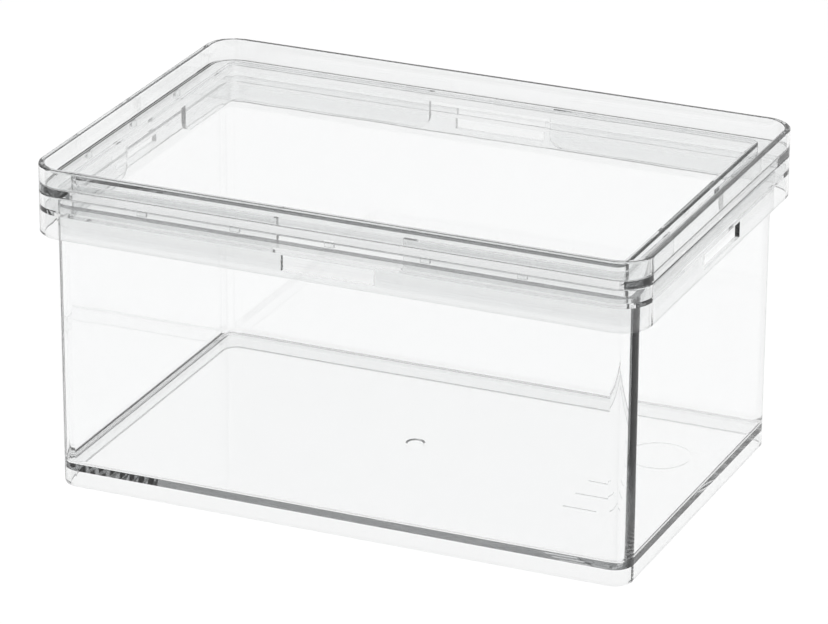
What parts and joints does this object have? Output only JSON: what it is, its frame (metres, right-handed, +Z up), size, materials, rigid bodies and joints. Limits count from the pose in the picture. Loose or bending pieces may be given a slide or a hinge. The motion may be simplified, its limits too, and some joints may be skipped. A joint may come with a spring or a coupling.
{
  "type": "stackable storage bin",
  "caption": "Clear rigid plastic storage bin, rectangular, with a skirted rim, a hollow foot and a lift-off lid whose sunken shelf seats the foot of the next bin.",
  "frame": {"origin": "on the surface the bin stands on, under the middle of its outline", "axes": "+X along the length, +Y across the width towards the back, +Z up"},
  "size_m": [0.29, 0.1956, 0.1546],
  "materials": {
    "bin_clear_plastic": "polished, water-clear polystyrene",
    "lid_clear_plastic": "polished, water-clear polystyrene"
  },
  "bodies": {
    "bin": {"storage_bin": "bin_clear_plastic"},
    "lid": {"lid": "lid_clear_plastic"}
  },
  "joints": [
    {"name": "lid_lift", "type": "slide", "parent": "bin", "child": "lid", "axis": [0, 0, 1], "range_m": [0, 0.12]}
  ]
}
